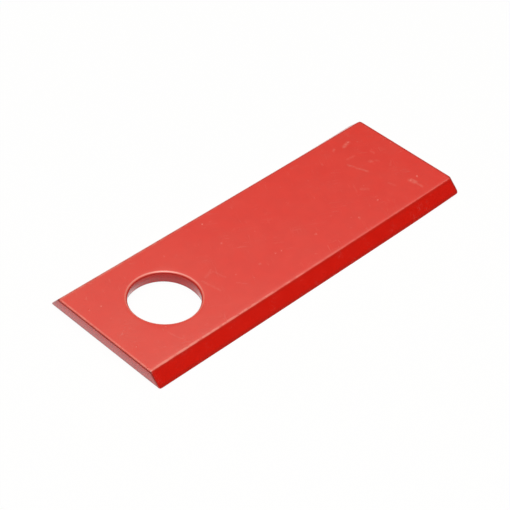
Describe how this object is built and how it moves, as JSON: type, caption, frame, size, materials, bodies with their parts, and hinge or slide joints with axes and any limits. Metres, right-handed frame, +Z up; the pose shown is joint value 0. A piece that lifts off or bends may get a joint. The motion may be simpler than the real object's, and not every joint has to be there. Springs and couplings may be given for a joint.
{
  "type": "rotary mower blade",
  "caption": "Flat red-painted steel knife for a rotary mower, bevelled along both long sides, with square sheared ends and a round pivot hole near one end.",
  "frame": {"origin": "on the axis of the pivot hole, in the plane of the flat underside", "axes": "+X from the pivot hole along the blade to its free end, +Z up along the hole's axis to the face with the bevels, +Y across the blade"},
  "size_m": [0.11, 0.04, 0.004],
  "materials": {
    "red_paint": "semi-gloss red paint over steel, with specks and light scuffs"
  },
  "bodies": {
    "root": {"blade": "red_paint"}
  },
  "joints": []
}
